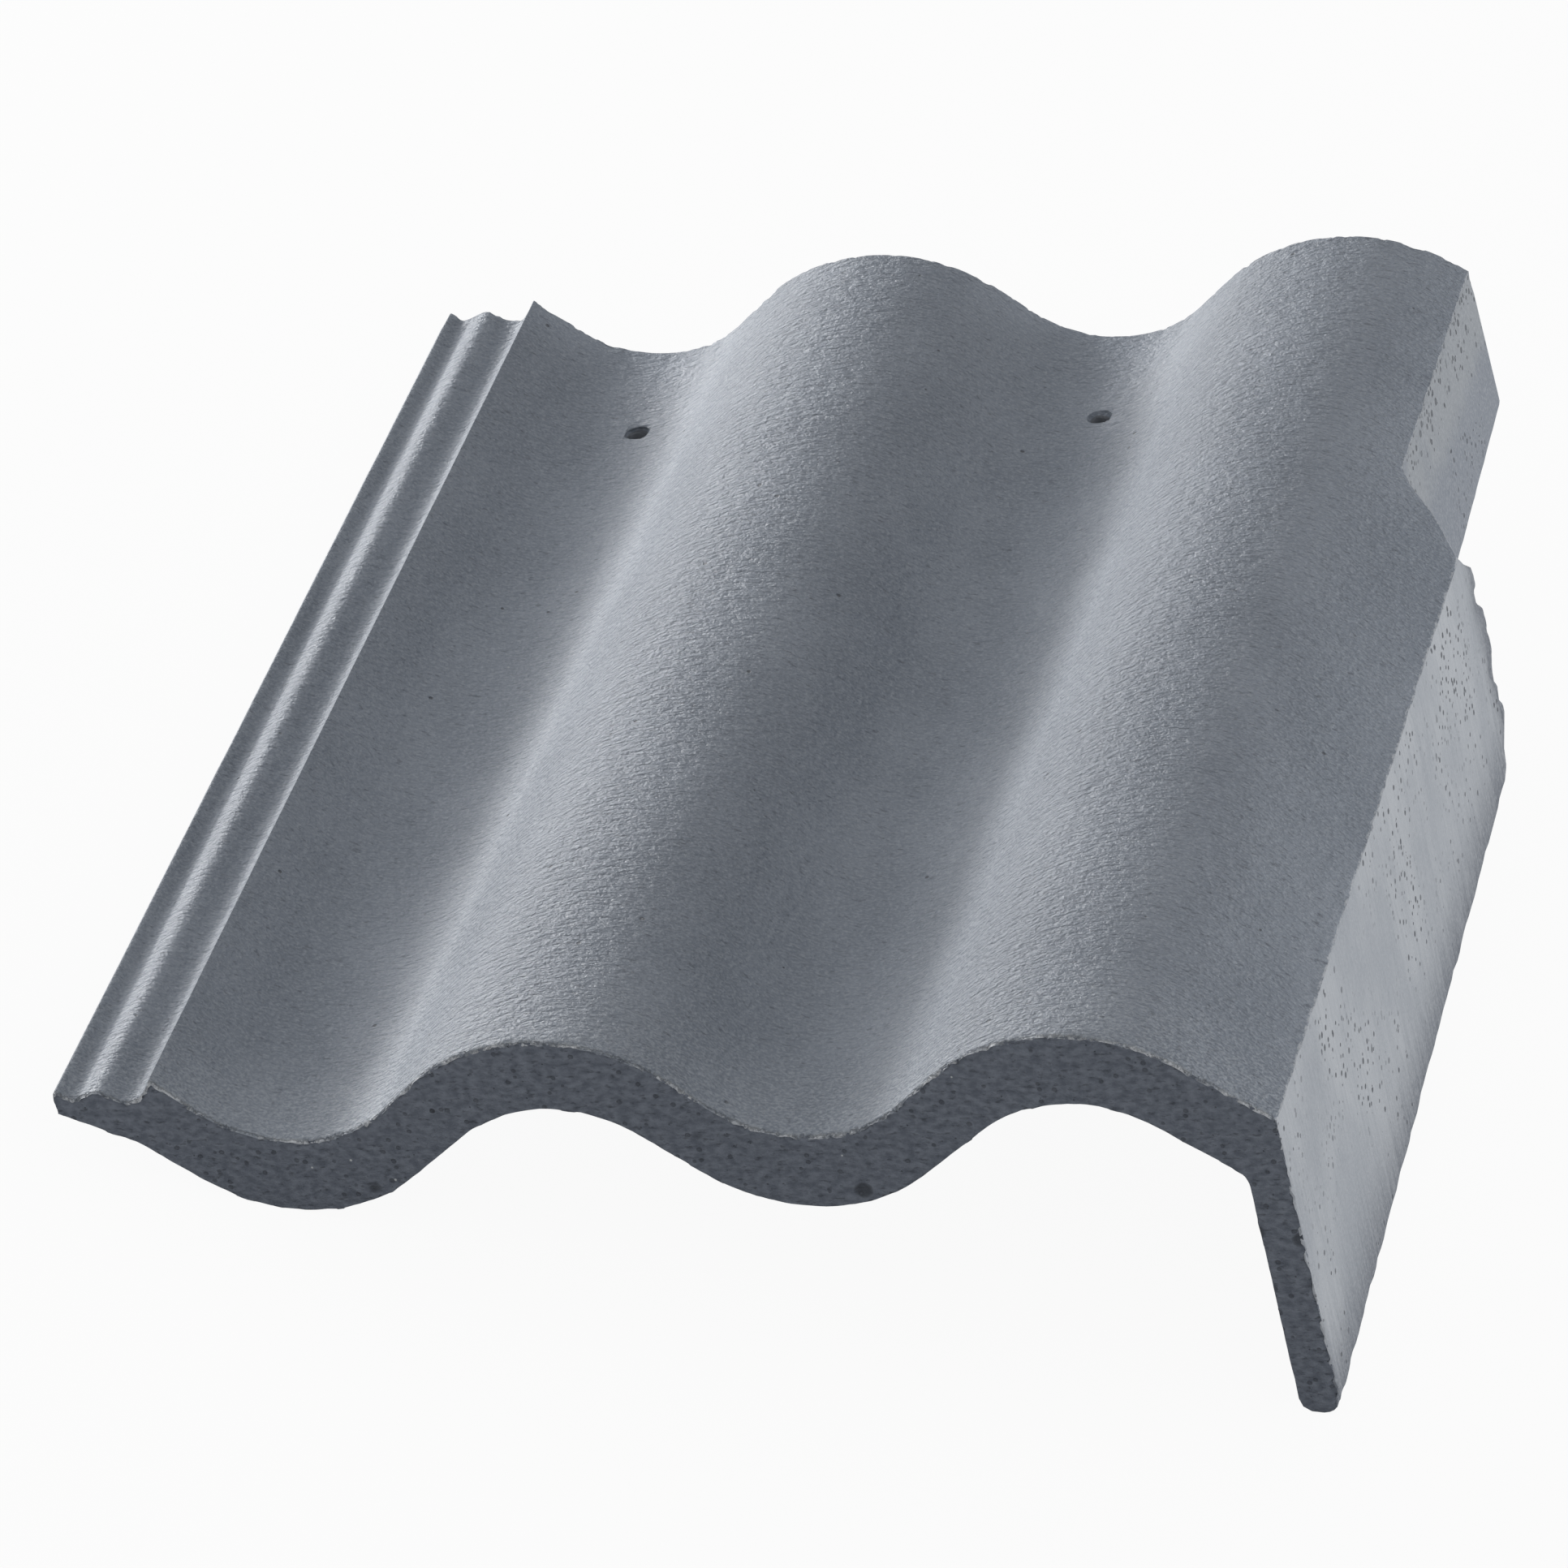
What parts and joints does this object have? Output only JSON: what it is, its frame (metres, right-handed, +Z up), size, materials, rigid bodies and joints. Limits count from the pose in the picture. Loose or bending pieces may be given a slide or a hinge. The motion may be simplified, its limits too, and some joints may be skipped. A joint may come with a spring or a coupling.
{
  "type": "concrete verge roof tile",
  "caption": "Right-hand verge roof tile of cast concrete: rolls and pans, a grooved water lock on the left, a deep gable flap on the right",
  "frame": {"origin": "middle of the underside of the tile's box, on the floor it rests on", "axes": "+Y from the nose (lower edge on a roof) to the head, +X across from the water lock to the gable flap, +Z up; the tile lies unheld on its flap's front corner, its nose and its first hanging nib, so its own face leans about 14 degrees to the left"},
  "size_m": [0.3732, 0.4208, 0.12],
  "materials": {
    "coated_concrete": "slate grey coated concrete, fine rough grain with a slight satin sheen"
  },
  "bodies": {
    "root": {"verge_tile": "coated_concrete"}
  },
  "joints": []
}
